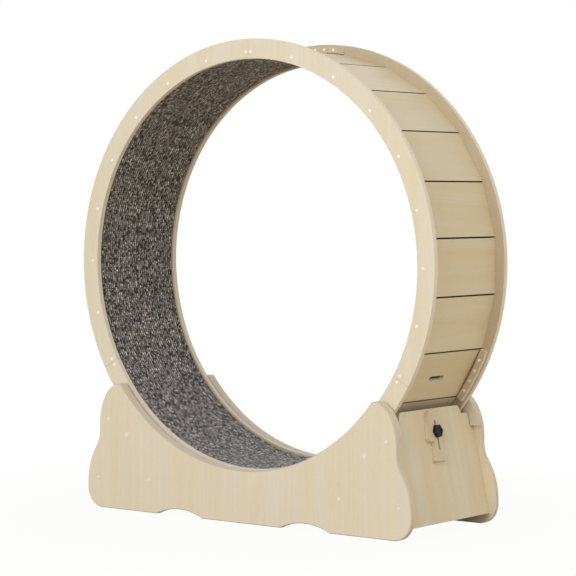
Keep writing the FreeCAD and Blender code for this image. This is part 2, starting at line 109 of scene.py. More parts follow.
class CapSettings(bpy.types.PropertyGroup):
    sides: IntProperty(
        name="Sides", description="Points round the edge of a cap", default=24)


class StageSettings(bpy.types.PropertyGroup):
    azimuth: FloatProperty(
        name="Camera azimuth", description="Round the wheel, from straight ahead of its front",
        default=math.radians(38.0), subtype="ANGLE")
    elevation: FloatProperty(
        name="Camera elevation", description="Above the horizon",
        default=math.radians(2.414), subtype="ANGLE")
    distance: FloatProperty(
        name="Camera distance", description="From the camera to the point that it looks at",
        default=5.078, unit="LENGTH")
    lens: FloatProperty(
        name="Focal length", description="In millimetres, on a 36 mm sensor", default=139.63)
    target: FloatVectorProperty(
        name="Target", description="The point that the camera looks at",
        default=(0.0017, 0.0, 0.5179), subtype="XYZ", unit="LENGTH")
    daylight: FloatProperty(
        name="Ambient light", description="Strength of the even white light all round",
        default=0.645)
    key_power: FloatProperty(
        name="Key light", description="Power of the large soft lamp before the front",
        default=124.0, unit="POWER")
    side_power: FloatProperty(
        name="Side light", description="Power of the soft lamp on the right",
        default=50.0, unit="POWER")
    back_power: FloatProperty(
        name="Back light", description="Power of the soft lamp behind the wheel",
        default=55.0, unit="POWER")


# ------------------------------------------------------------- shader helpers
WHITE = "ffffff"
WHOLE_RANGE = (0.0, 1.0)
BEVEL_SAMPLES = 6
MM_PER_METRE = 1000


def colour(hex_code):
    """Linear RGBA from an sRGB hex code."""
    channels = [int(hex_code[k:k + 2], 16) / 255 for k in (0, 2, 4)]
    return [c / 12.92 if c <= 0.04045 else ((c + 0.055) / 1.055) ** 2.4 for c in channels] + [1.0]


def add(tree, kind, sockets=None, **settings):
    """Add a shader node. sockets maps an input to its value, or to the output that feeds it."""
    made = tree.nodes.new("ShaderNode" + kind)
    for name, value in settings.items():
        setattr(made, name, value)
    for key, value in (sockets or {}).items():
        if isinstance(value, bpy.types.NodeSocket):
            tree.links.new(value, made.inputs[key])
        else:
            made.inputs[key].default_value = value
    return made


def maths(tree, operation, *values):
    """The number that a Math node makes."""
    return add(tree, "Math", dict(enumerate(values)), operation=operation).outputs[0]


def vector_maths(tree, operation, *values):
    """The vector that a Vector Math node makes."""
    return add(tree, "VectorMath", dict(enumerate(values)), operation=operation).outputs["Vector"]


def vector_measure(tree, operation, *values):
    """The number that a Vector Math node makes: a dot product, a distance or a length."""
    return add(tree, "VectorMath", dict(enumerate(values)), operation=operation).outputs["Value"]


def product(tree, first, *others):
    """Numbers multiplied together."""
    for other in others:
        first = maths(tree, "MULTIPLY", first, other)
    return first


def scaled(tree, vector, factor):
    """A vector or colour times a number."""
    return add(tree, "VectorMath", {0: vector, "Scale": factor}, operation="SCALE").outputs[0]


def remap(tree, value, source, target=WHOLE_RANGE, **settings):
    """A number carried from the source range to the target range, and held inside that."""
    sockets = dict(enumerate((value, *source, *target)))
    return add(tree, "MapRange", sockets, **settings).outputs[0]


def blend(tree, share, first, second):
    """Two colours mixed. Each is an sRGB hex code or a socket."""
    first, second = [colour(c) if isinstance(c, str) else c for c in (first, second)]
    return add(tree, "Mix", {0: share, 6: first, 7: second}, data_type="RGBA").outputs[2]


def noise(tree, place, scale, detail=2.0, roughness=0.5, distortion=0.0):
    """Soft random patches between 0 and 1, with about so many as scale to a unit of place."""
    return add(tree, "TexNoise", {"Vector": place, "Scale": scale, "Detail": detail,
                                  "Roughness": roughness, "Distortion": distortion}).outputs[0]


def split(tree, vector):
    """The X, Y and Z of a vector."""
    return add(tree, "SeparateXYZ", {0: vector}).outputs


def object_place(tree):
    """Place on the object at rest, which stays with the surface at every pose."""
    return add(tree, "TexCoord").outputs["Object"]


def eased_edge(tree, radius):
    """A normal that rounds sharp edges to a radius."""
    return add(tree, "Bevel", {"Radius": radius}, samples=BEVEL_SAMPLES).outputs[0]


def relief(tree, height, strength, depth, **more):
    """A normal bumped by a height pattern of a depth in metres. more gives a Normal under it."""
    return add(tree, "Bump", {"Height": height, "Strength": strength, "Distance": depth,
                              **more}).outputs[0]


def new_material(name):
    material = bpy.data.materials.new(name)
    material.use_nodes = True
    material.node_tree.nodes.clear()
    return material, material.node_tree


def finish_material(material, shader):
    add(material.node_tree, "OutputMaterial", {"Surface": shader.outputs[0]})
    return material


# ------------------------------------------------------------------- plywood
SLAT_STEP = 2 * math.pi / len(SLATS)
LONG_EDGE_STARTS = 0.4      # of a step to either side of a slat's middle
FACE_COSINE = 0.85          # what is turned further from the board's own direction is an edge
INNER_FACE_DISTANCE = 0.05  # a face that looks at the middle plane from farther off is inner

# The knob's axis goes square through the right end board.
END_X, _, END_Z = JOINT["lock_knob_turn"]["axis"]
THROUGH_BOARD = {
    "sides": (0.0, 1.0, 0.0),
    "right end": (END_X, 0.0, END_Z),
    "left end": (-END_X, 0.0, END_Z),
    "across": (1.0, 0.0, 0.0),
}
# Across the grain the pattern is at full scale, along it twenty times as long.
ALONG_GRAIN = 0.05
GRAIN = {
    "upright": (1.0, 1.0, ALONG_GRAIN),
    "upright on an end board": (0.0, 1.0, ALONG_GRAIN),
    "from rim to rim": (1.0, ALONG_GRAIN, 1.0),
}

# Each board is cut from another place in the sheet, by its own random number, and each
# material from another sheet. Both are in metres of the pattern.
BOARD_SPREAD = (7.0, 13.0, 5.0)
SHEET_STEP = 2.0

# Marks to a metre in the fine patterns: fibres are about 0.7 mm apart, and pores 0.4 mm.
FIBRES = 1500.0
STREAKS = 330.0
PORES = 2600.0
EDGE_SPECKLES = 900.0
FIGURE_SIZE = 0.3           # swirls of the figure to a grain band
FIGURE_LINES = 130.0        # how close together the figure draws its lines

# The part of each noise pattern, between 0 and 1, over which its effect comes in.
HONEY_BANDS = (0.35, 0.67)
FIBRE_SWING = (0.2, 0.8)
STREAK_SWING = (0.25, 0.75)
PORE_SPOTS = (0.68, 0.78)
SPECKLE_SWING = (0.25, 0.75)
# Places in a pair of layers, counted in layers from the middle of the light one.
LAYER_CHANGE = (0.46, 0.54)
GLUE_LINE = 0.5
GLUE_REACH = (0.03, 0.09)

# What each pattern multiplies the wood's colour by, at its low and at its high end.
FIGURE_SHADE = (0.985, 1.01)
FIBRE_SHADE = (0.95, 1.04)
STREAK_SHADE = (0.985, 1.015)
PORE_SHADE = (1.0, 0.88)
GLUE_SHADE = (0.87, 1.0)
SPECKLE_SHADE = (0.93, 1.05)
BOARD_SHADE = (0.965, 1.02)
# Brown that paints the shade of the seams between slats onto their long edges.
SEAM_SHADE_BROWN = "826f5c"

FACE_ROUGHNESS = (0.44, 0.58)
EDGE_ROUGHNESS = 0.72
OIL_IOR = 1.47
GRAIN_RELIEF = {"strength": 0.35, "depth": 0.00006}

# Tones of a sheet: its face from pale to honey bands, a tint that paints shade on the faces
# turned to the middle of the wheel, and the two layers that alternate on its cut edges.
Sheet = namedtuple("Sheet", "pale honey inner light_layer dark_layer")
RIM_SHEET = Sheet("dcd3c0", "ddd0b6", "dfd8cd", "ecdfcc", "d8c8b0")
PLATE_SHEET = RIM_SHEET._replace(inner="ece4d8")
WHITE_SHEET = Sheet("ddd3bf", "ded0b5", WHITE, "dccfbb", "cab9a1")
WARM_SHEET = Sheet("d6caaf", "d4c3a3", WHITE, "e3d8c6", "d1c1aa")
SLAT_SHEET = WARM_SHEET._replace(pale="d6c7a9", honey="d4c19c")
# Painted shade: the lock plate's sheet is darker than the end board's, standing in for the shade on
# its low part.
SHADED_LOCK_SHEET = Sheet("cdbe9e", "cbb890", WHITE, "dfd3bd", "cdbc9f")

# Material, direction through the board, run of the grain, sheet, and nodes cut from it.
BOARDS = (
    ("Birch plywood, oiled, sawn in rim arcs", "sides", "upright", RIM_SHEET, RIM_ARCS),
    ("Birch plywood, oiled, sawn in slats", "slat", "from rim to rim", SLAT_SHEET, SLATS),
    ("Birch plywood, oiled, sawn splice plates", "sides", "upright", PLATE_SHEET,
     ["splice_plates"]),
    ("Birch plywood, oiled, routed side boards", "sides", "upright", WHITE_SHEET,
     ["front_side_panel", "back_side_panel", "front_roller_plate", "back_roller_plate"]),
    ("Birch plywood, oiled, sawn right end board", "right end", "upright on an end board",
     WARM_SHEET, ["right_end_panel"]),
    ("Birch plywood, oiled, sawn left end board", "left end", "upright on an end board",
     WARM_SHEET, ["left_end_panel"]),
    ("Birch plywood, oiled, sawn cross rails", "across", "from rim to rim", WHITE_SHEET,
     ["left_cross_rail", "right_cross_rail"]),
    ("Birch plywood, oiled, routed lock plate", "right end", "upright on an end board",
     SHADED_LOCK_SHEET, ["lock_slider"]),
)


def through_slat(tree, position):
    """Place from the axis, the slat's outward direction, and 1 on its two long edges."""
    from_axis = vector_maths(tree, "SUBTRACT", position, WHEEL_CENTRE)
    x, _, z = split(tree, from_axis)
    number = maths(tree, "DIVIDE", maths(tree, "ARCTAN2", z, x), SLAT_STEP)
    whole = maths(tree, "ROUND", number)
    angle = maths(tree, "MULTIPLY", whole, SLAT_STEP)
    outward = add(tree, "CombineXYZ", {"X": maths(tree, "COSINE", angle),
                                       "Z": maths(tree, "SINE", angle)})
    off_middle = maths(tree, "ABSOLUTE", maths(tree, "SUBTRACT", number, whole))
    long_edge = maths(tree, "GREATER_THAN", off_middle, LONG_EDGE_STARTS)
    return from_axis, outward.outputs[0], long_edge


def place_in_sheet(tree, position, random, grain, shift):
    """Where in its sheet a point of the board was, with the grain drawn out lengthways."""
    stretched = vector_maths(tree, "MULTIPLY", position, GRAIN[grain])
    spread = vector_maths(tree, "MULTIPLY", random, BOARD_SPREAD)
    moved = vector_maths(tree, "ADD", stretched, spread)
    return vector_maths(tree, "ADD", moved, (shift, shift, shift))


def face_veneer(tree, sheet_place, tones, wood):
    """Colour of a rotary-cut face, and its fibres."""
    bands = noise(tree, sheet_place, 1 / wood.band, detail=1.5, roughness=0.45, distortion=0.35)
    honeyed = remap(tree, bands, HONEY_BANDS)
    swirl = noise(tree, sheet_place, FIGURE_SIZE / wood.band)
    figure = maths(tree, "SINE", maths(tree, "MULTIPLY", swirl, FIGURE_LINES))
    fibre = noise(tree, sheet_place, FIBRES, detail=3.0, roughness=0.65)
    streak = noise(tree, sheet_place, STREAKS)
    pore = noise(tree, sheet_place, PORES, detail=0.0)
    shade = product(tree,
                    remap(tree, figure, (-1.0, 1.0), FIGURE_SHADE),
                    remap(tree, fibre, FIBRE_SWING, FIBRE_SHADE),
                    remap(tree, streak, STREAK_SWING, STREAK_SHADE),
                    remap(tree, pore, PORE_SPOTS, PORE_SHADE))
    return scaled(tree, blend(tree, honeyed, tones.pale, tones.honey), shade), fibre


def cut_edge(tree, position, depth, tones, wood):
    """Colour of a sanded edge, and a ramp from each layer's middle to the next for its relief.

    Layers have their grain along and across the edge by turns, with glue between them.
    """
    layers = maths(tree, "DIVIDE", depth, wood.veneer)
    in_pair = maths(tree, "PINGPONG", layers, 1.0)
    crosswise = remap(tree, in_pair, LAYER_CHANGE)
    from_glue = maths(tree, "ABSOLUTE", maths(tree, "SUBTRACT", in_pair, GLUE_LINE))
    speckle = noise(tree, position, EDGE_SPECKLES, detail=3.0, roughness=0.7)
    shade = product(tree,
                    remap(tree, from_glue, GLUE_REACH, GLUE_SHADE),
                    remap(tree, speckle, SPECKLE_SWING, SPECKLE_SHADE))
    layer_tone = blend(tree, crosswise, tones.light_layer, tones.dark_layer)
    return scaled(tree, layer_tone, shade), maths(tree, "FRACT", layers)


def birch_plywood(name, through, grain, tones, wood, shift):
    """Rotary-cut birch faces with a clear matt oil, and sanded veneer edges.

    The eye reads faint broad bands, hair-fine fibres and short pores on the faces,
    and thin light and dark layers on every cut edge.
    """
    material, tree = new_material(name)
    place = add(tree, "TexCoord")
    position, facing = place.outputs["Object"], place.outputs["Normal"]
    random = add(tree, "ObjectInfo").outputs["Random"]
    if through == "slat":
        from_origin, direction, long_edge = through_slat(tree, position)
    else:
        from_origin, direction, long_edge = position, THROUGH_BOARD[through], 0.0
    depth = vector_measure(tree, "DOT_PRODUCT", from_origin, direction)
    square_on = maths(tree, "ABSOLUTE", vector_measure(tree, "DOT_PRODUCT", facing, direction))
    on_face = maths(tree, "GREATER_THAN", square_on, FACE_COSINE)

    # Painted shade: faces turned to the middle of the wheel are tinted darker, standing in for the
    # shade inside the drum.
    sheet_place = place_in_sheet(tree, position, random, grain, shift)
    veneer, fibre = face_veneer(tree, sheet_place, tones, wood)
    outwards = split(tree, vector_maths(tree, "MULTIPLY", facing, position))["Y"]
    shaded_inner_side = maths(tree, "LESS_THAN", outwards, -INNER_FACE_DISTANCE)
    inner_painted_shade = blend(tree, shaded_inner_side, WHITE, tones.inner)
    face = vector_maths(tree, "MULTIPLY", veneer, inner_painted_shade)

    # Painted shade: the slats' long edges are tinted brown, standing in for the shade in the seams
    # between them.
    layers, layer_ramp = cut_edge(tree, position, depth, tones, wood)
    edge = vector_maths(tree, "MULTIPLY", layers, blend(tree, long_edge, WHITE, SEAM_SHADE_BROWN))

    board_shade = remap(tree, random, WHOLE_RANGE, BOARD_SHADE)
    board = scaled(tree, blend(tree, on_face, edge, face), board_shade)
    face_roughness = remap(tree, fibre, FIBRE_SWING, FACE_ROUGHNESS)
    edge_roughness = remap(tree, on_face, WHOLE_RANGE, (EDGE_ROUGHNESS, 0.0))
    height = add(tree, "Mix", {0: on_face, 2: layer_ramp, 3: fibre}, data_type="FLOAT").outputs[0]
    bump = relief(tree, height, Normal=eased_edge(tree, wood.eased_edge), **GRAIN_RELIEF)
    return finish_material(material, add(tree, "BsdfPrincipled", {
        "Base Color": board, "IOR": OIL_IOR, "Normal": bump,
        "Roughness": maths(tree, "MAXIMUM", face_roughness, edge_roughness)}))


# ---------------------------------------------------------------- running mat
LOOP_LENGTH_MM = 5.0
LOOPS_ABREAST = 1.5         # on one rib
LOOP_DISORDER = 0.8
FLUFF_PER_MM = 2.6
TRAFFIC_PER_MM = 0.012
SHADED_SIDE_LINE = (0.004, 0.002)   # from the mat's side, where the painted shade of the dark line by the rims starts and is full
SHADED_BACK_MM = (2.0, 3.0)     # depth below the ribs at which the pile turns into the near-black painted shade of the back
LOOP_GAP = (0.3, 0.65)      # from a loop's middle, where the gap about it starts and is full
RIB_SIDE = (0.12, 0.45)     # from a rib's crest, in pitches, where its side starts and ends
FLUFF_SWING = (0.25, 0.75)
TRAFFIC_SWING = (0.3, 0.7)
PILE_RELIEF = {"strength": 0.8, "depth": 0.0008}
RIB_POINTS = 4              # across one rib of the mat's cross-section
HEATHER = ((0.0, "161312"), (0.26, "221e1c"), (0.36, "857d79"), (0.72, "a0978f"), (1.0, "eae0da"))

# What each pattern multiplies the yarn's colour by, at its low and at its high end.
FLUFF_SHADE = (0.72, 1.28)
TRAFFIC_SHADE = (0.86, 1.05)
# Painted shade: the gaps about each loop are darkened, standing in for shade in the pile.
LOOP_GAP_PAINTED_SHADE = (1.1, 0.55)
# Painted shade: grooves between the ribs darker and crests lighter, as light falls on real ribs.
RIB_GROOVE_PAINTED_SHADE = (1.25, 0.25)
# Painted shade: the dark line along the mat's sides.
SIDE_LINE_PAINTED_SHADE = (1.0, 0.25)
# Painted shade: the mat's back near black, for the shade in the lock slot.
BACK_PAINTED_SHADE = (1.0, 0.1)


def colour_ramp(tree, value, stops):
    """Colours along a number from 0 to 1. Each stop is a place and an sRGB hex code."""
    ramp = add(tree, "ValToRGB", {0: value})
    elements = ramp.color_ramp.elements
    for place, _ in stops[1:-1]:
        elements.new(place)
    for element, (place, code) in zip(elements, stops):
        element.position = place
        element.color = colour(code)
    return ramp.outputs[0]


def ribbed_felt(pitch, half_width):
    """Looped needle-felt in dark grey-brown heather, ribbed round the drum.

    Rows of light loops, with painted shade darkening the gaps between them, give the eye a dense,
    dry pile.
    Real loops are about 3 mm long; they are drawn longer, so that they show.
    """
    material, tree = new_material("Ribbed needle-felt, dark heather, looped on a backing")
    laid = add(tree, "Attribute", attribute_name="mat_mm").outputs["Vector"]
    along, across, below = split(tree, laid)
    rib_place = maths(tree, "DIVIDE", across, MM_PER_METRE * pitch)
    loops_at = add(tree, "CombineXYZ", {
        "X": maths(tree, "DIVIDE", along, LOOP_LENGTH_MM),
        "Y": maths(tree, "MULTIPLY", rib_place, LOOPS_ABREAST),
        "Z": maths(tree, "ROUND", rib_place)})
    loops = add(tree, "TexVoronoi", {"Vector": loops_at.outputs[0], "Scale": 1.0,
                                     "Randomness": LOOP_DISORDER})
    from_loop = loops.outputs["Distance"]
    yarn = add(tree, "SeparateColor", {0: loops.outputs["Color"]}).outputs[0]
    fluff = noise(tree, laid, FLUFF_PER_MM, detail=3.0, roughness=0.7)
    traffic = noise(tree, laid, TRAFFIC_PER_MM)
    off_crest = maths(tree, "PINGPONG", rib_place, 0.5)
    # Painted shade: a thin dark line along the mat's sides stands in for the shade where the mat
    # meets the rims, and the mat's back is made near black, standing in for the shade seen through
    # the lock slot.
    from_middle = maths(tree, "ABSOLUTE", split(tree, object_place(tree))["Y"])
    shaded_side_line = [half_width - from_side for from_side in SHADED_SIDE_LINE]
    shade = product(tree,
                    remap(tree, from_loop, LOOP_GAP, LOOP_GAP_PAINTED_SHADE),
                    remap(tree, off_crest, RIB_SIDE, RIB_GROOVE_PAINTED_SHADE),
                    remap(tree, below, SHADED_BACK_MM, BACK_PAINTED_SHADE),
                    remap(tree, from_middle, shaded_side_line, SIDE_LINE_PAINTED_SHADE),
                    remap(tree, fluff, FLUFF_SWING, FLUFF_SHADE),
                    remap(tree, traffic, TRAFFIC_SWING, TRAFFIC_SHADE))
    pile = scaled(tree, colour_ramp(tree, yarn, HEATHER), shade)
    bump = relief(tree, maths(tree, "SUBTRACT", fluff, from_loop), **PILE_RELIEF)
    return finish_material(material, add(tree, "BsdfPrincipled", {
        "Base Color": pile, "Roughness": 0.95, "IOR": 1.4, "Sheen Weight": 0.2,
        "Sheen Roughness": 0.6, "Normal": bump}))


# ---------------------------------------------------------- plastic and steel
CAP_ROUGHNESS = (0.38, 0.5)
CAP_SPARK_SIZE = 0.0006
KNOB_ROUGHNESS = (0.5, 0.65)
KNOB_SPARK_SIZE = 0.0008
KNOB_IOR = 1.36             # a dull, dusty black
POLYETHYLENE_IOR = 1.49
ZINC_ROUGHNESS = (0.28, 0.42)
GROUND_ROUGHNESS = (0.18, 0.28)
BEARING_RADIUS = 0.011
BEARING_CHAMFER = 0.0002
TOOL_MARKS = 9000.0         # radians to a metre out from the axle: one mark each 0.7 mm
MOULDED_EDGE = 0.0005       # radius that a mould leaves on an edge
# Patches to a metre: flow marks of the melt, cloud of the plating, mottle of the nylon.
FLOW_MARKS = 120.0
PLATING_CLOUD = 420.0
NYLON_MOTTLE = 260.0
PATCH_SWING = (0.3, 0.7)    # the part of each pattern over which its effect comes in
FLOW_SHADE = (0.96, 1.04)
CLOUD_SHADE = (0.88, 1.06)
SPARK_RELIEF = {"strength": 0.3, "depth": 0.00004}
TOOL_MARK_RELIEF = {"strength": 0.15, "depth": 0.00005}
NYLON_ROUGHNESS = (0.32, 0.46)


def moulded_plastic(name, code, roughness, spark_size, ior):
    """Injection-moulded plastic with a fine spark-eroded skin, which breaks its highlight up."""
    material, tree = new_material(name)
    position = object_place(tree)
    skin = noise(tree, position, 1 / spark_size, detail=3.0, roughness=0.6)
    flow = noise(tree, position, FLOW_MARKS, detail=1.0)
    tint = remap(tree, flow, PATCH_SWING, FLOW_SHADE)
    bump = relief(tree, skin, Normal=eased_edge(tree, MOULDED_EDGE), **SPARK_RELIEF)
    return finish_material(material, add(tree, "BsdfPrincipled", {
        "Base Color": scaled(tree, colour(code)[:3], tint), "IOR": ior, "Normal": bump,
        "Roughness": remap(tree, skin, PATCH_SWING, roughness)}))


def plated_steel(name, code, roughness):
    """Bright steel with the faint cloud of its plating or grinding, so that it never mirrors."""
    material, tree = new_material(name)
    cloud = noise(tree, object_place(tree), PLATING_CLOUD, detail=4.0, roughness=0.6)
    tint = remap(tree, cloud, PATCH_SWING, CLOUD_SHADE)
    return finish_material(material, add(tree, "BsdfPrincipled", {
        "Base Color": scaled(tree, colour(code)[:3], tint), "Metallic": 1.0,
        "Roughness": remap(tree, cloud, PATCH_SWING, roughness)}))


def roller_nylon():
    """Turned natural nylon moulded round a ball bearing, whose steel shows about the axle."""
    material, tree = new_material("Turned natural nylon round a shielded steel bearing")
    position = object_place(tree)
    middle = middle_of("front_right_roller")
    x, _, z = split(tree, position)
    mirrored = add(tree, "CombineXYZ", {"X": maths(tree, "ABSOLUTE", x), "Z": z}).outputs[0]
    out = vector_measure(tree, "DISTANCE", mirrored, (middle.x, 0.0, middle.z))
    steel = remap(tree, out, (BEARING_RADIUS, BEARING_RADIUS + BEARING_CHAMFER), (1.0, 0.0))
    tool_marks = maths(tree, "SINE", maths(tree, "MULTIPLY", out, TOOL_MARKS))
    mottle = noise(tree, position, NYLON_MOTTLE, detail=3.0)
    nylon = blend(tree, mottle, "d9d4c8", "e9e5dc")
    return finish_material(material, add(tree, "BsdfPrincipled", {
        "Base Color": blend(tree, steel, nylon, "b9bbbe"), "Metallic": steel, "IOR": 1.53,
        "Roughness": remap(tree, mottle, PATCH_SWING, NYLON_ROUGHNESS),
        "Normal": relief(tree, tool_marks, **TOOL_MARK_RELIEF)}))


# ------------------------------------------------------------ pieces and meshes
KEY_PLACES = 5


def paint(names, material):
    """Give CAD nodes their material."""
    for name in names:
        for material_slot in NODES[name].material_slots:
            material_slot.material = material


def islands(node):
    """The separate solids of a CAD node, each as its low and high corner.

    Vertices at the same place, to KEY_PLACES decimals of a metre, belong to one solid.
    """
    mesh = NODES[node].data
    key_of = {}
    group = {}

    def find(key):
        while group[key] != key:
            group[key] = group[group[key]]
            key = group[key]
        return key

    for vertex in mesh.vertices:
        key = tuple(round(c, KEY_PLACES) for c in vertex.co)
        key_of[vertex.index] = key
        group.setdefault(key, key)
    for polygon in mesh.polygons:
        first = find(key_of[polygon.vertices[0]])
        for index in polygon.vertices[1:]:
            group[find(key_of[index])] = first
    boxes = {}
    for key in group:
        low, high = boxes.setdefault(find(key), (list(key), list(key)))
        for axis in range(3):
            low[axis] = min(low[axis], key[axis])
            high[axis] = max(high[axis], key[axis])
    return [(Vector(low), Vector(high)) for low, high in boxes.values()]


def mesh_object(name, bm, material):
    """A new object in the scene, made from a bmesh."""
    mesh = bpy.data.meshes.new(name)
    bm.to_mesh(mesh)
    bm.free()
    mesh.materials.append(material)
    made = bpy.data.objects.new(name, mesh)
    bpy.context.scene.collection.objects.link(made)
    return made


def place_piece(name, bm, body, material, node):
    """A smooth new piece that rides on a body in place of a CAD node."""
    piece = mesh_object(name, bm, material)
    for polygon in piece.data.polygons:
        polygon.use_smooth = True
    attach(piece, body)
    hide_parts(node)
    return piece


# Radius and height of a cap's moulded profile, as shares of the whole.
CAP_PROFILE = ((1.0, 0.0), (1.0, 0.45), (0.96, 0.68), (0.86, 0.84), (0.62, 0.95), (0.3, 0.99))


def add_cap(bm, centre, outward, radius, height, sides):
    """One press-on cap: a short wall, a rounded shoulder and a shallow dome."""
    rings = []
    for share, rise in CAP_PROFILE:
        ring = []
        for k in range(sides):
            angle = 2 * math.pi * k / sides
            ring.append(bm.verts.new(centre + Vector((
                radius * share * math.cos(angle),
                outward * height * rise,
                radius * share * math.sin(angle)))))
        rings.append(ring)
    for inner, outer in zip(rings[1:], rings[:-1]):
        for k in range(sides):
            bm.faces.new((outer[k], outer[(k + 1) % sides], inner[(k + 1) % sides], inner[k]))
    top = bm.verts.new(centre + Vector((0, outward * height, 0)))
    for k in range(sides):
        bm.faces.new((rings[-1][k], rings[-1][(k + 1) % sides], top))
    bm.faces.new(list(reversed(rings[0])))


def press_on_caps(node, name, body, material, sides, side=1):
    """Replace a node's cap solids with moulded caps. side is -1 where they face the middle."""
    bm = bmesh.new()
    for low, high in islands(node):
        middle = (low + high) / 2
        outward = side if middle.y > 0 else -side
        seat = Vector((middle.x, low.y if outward > 0 else high.y, middle.z))
        reach = max(high.x - low.x, high.z - low.z) / 2
        add_cap(bm, seat, outward, reach, high.y - low.y, sides)
    bmesh.ops.recalc_face_normals(bm, faces=bm.faces)
    place_piece(name, bm, body, material, node)


# --------------------------------------------------------------------- studio
FLOOR_REACH = 14.0
FLOOR_FILM = "c8b99c"
SHADOW_FADES = (0.45, 1.3)  # metres from the wheel's middle between which the floor turns plain
FLOOR_GLOW = (0.96, 1.0)    # share of plain white that the eye sees, under the wheel and far off
SKYLIGHT = "f8fbff"
SENSOR_MM = 36.0
CAMERA_SEES_TO = 60.0
LAMP_TARGET = Vector((0, 0, 0.45))
# Name, place, width, setting of the power, and tint.
SOFTBOXES = (
    ("Key softbox", (0.6, -5.0, 2.0), 2.6, "key_power", WHITE),
    ("Side softbox", (4.6, -0.5, 2.3), 2.4, "side_power", "fff8ee"),
    ("Back softbox", (-1.0, 5.0, 2.2), 2.6, "back_power", WHITE),
)


def seen_directly(tree):
    """1 where a camera, glossy or transmission ray arrives, so gloss shows the backdrop too."""
    ray = add(tree, "LightPath").outputs
    either = maths(tree, "MAXIMUM", ray["Is Camera Ray"], ray["Is Glossy Ray"])
    return maths(tree, "MAXIMUM", either, ray["Is Transmission Ray"])


def painted_floor():
    """Painted white board: the wheel's soft shadow stays near its feet and fades to white."""
    material, tree = new_material("Studio floor, painted matt white")
    away = vector_measure(tree, "LENGTH", object_place(tree))
    bare = remap(tree, away, SHADOW_FADES, FLOOR_GLOW, interpolation_type="SMOOTHSTEP")
    film = add(tree, "BsdfDiffuse", {"Color": colour(FLOOR_FILM)})
    white = add(tree, "Emission", {"Color": colour(WHITE), "Strength": 1.0})
    return finish_material(material, add(tree, "MixShader", {
        0: maths(tree, "MULTIPLY", seen_directly(tree), bare),
        1: film.outputs[0], 2: white.outputs[0]}))


def make_floor():
    bm = bmesh.new()
    bmesh.ops.create_grid(bm, x_segments=4, y_segments=4, size=FLOOR_REACH)
    mesh_object("studio_floor", bm, painted_floor())


def make_world(scene, stage):
    """Even light on the wheel, with plain white for what the camera sees behind it."""
    world = bpy.data.worlds.new("White studio")
    world.use_nodes = True
    tree = world.node_tree
    tree.nodes.clear()
    light = add(tree, "Background", {"Color": colour(SKYLIGHT), "Strength": stage.daylight})
    white = add(tree, "Background", {"Color": colour(WHITE), "Strength": 1.0})
    both = add(tree, "MixShader", {0: seen_directly(tree), 1: light.outputs[0],
                                   2: white.outputs[0]})
    add(tree, "OutputWorld", {"Surface": both.outputs[0]})
    scene.world = world


def add_softbox(scene, name, place, width, power, tint):
    lamp = bpy.data.lights.new(name, "AREA")
    lamp.size = width
    lamp.energy = power
    lamp.color = colour(tint)[:3]
    holder = bpy.data.objects.new(name, lamp)
    holder.location = place
    holder.rotation_euler = (LAMP_TARGET - holder.location).to_track_quat("-Z", "Y").to_euler()
    scene.collection.objects.link(holder)


def make_camera(scene, stage):
    camera = bpy.data.cameras.new("Studio camera")
    camera.lens = stage.lens
    camera.sensor_width = SENSOR_MM
    camera.clip_end = CAMERA_SEES_TO
    holder = bpy.data.objects.new("Studio camera", camera)
    back = Vector((math.sin(stage.azimuth) * math.cos(stage.elevation),
                   -math.cos(stage.azimuth) * math.cos(stage.elevation),
                   math.sin(stage.elevation)))
    holder.location = Vector(stage.target) + back * stage.distance
    holder.rotation_mode = "QUATERNION"
    holder.rotation_quaternion = (-back).to_track_quat("-Z", "Y")
    scene.collection.objects.link(holder)
    scene.camera = holder


# ------------------------------------------------------------------ operators
class WHEEL_OT_boards(bpy.types.Operator):
    """Give every plywood board its veneer, grain and cut edges"""
    bl_idname = "wheel.boards"
    bl_label = "Plywood boards"

    def execute(self, context):
        wood = context.scene.wheel_wood
        for number, (name, through, grain, tones, nodes) in enumerate(BOARDS):
            plywood = birch_plywood(name, through, grain, tones, wood, SHEET_STEP * number)
            paint(nodes, plywood)
        return {"FINISHED"}


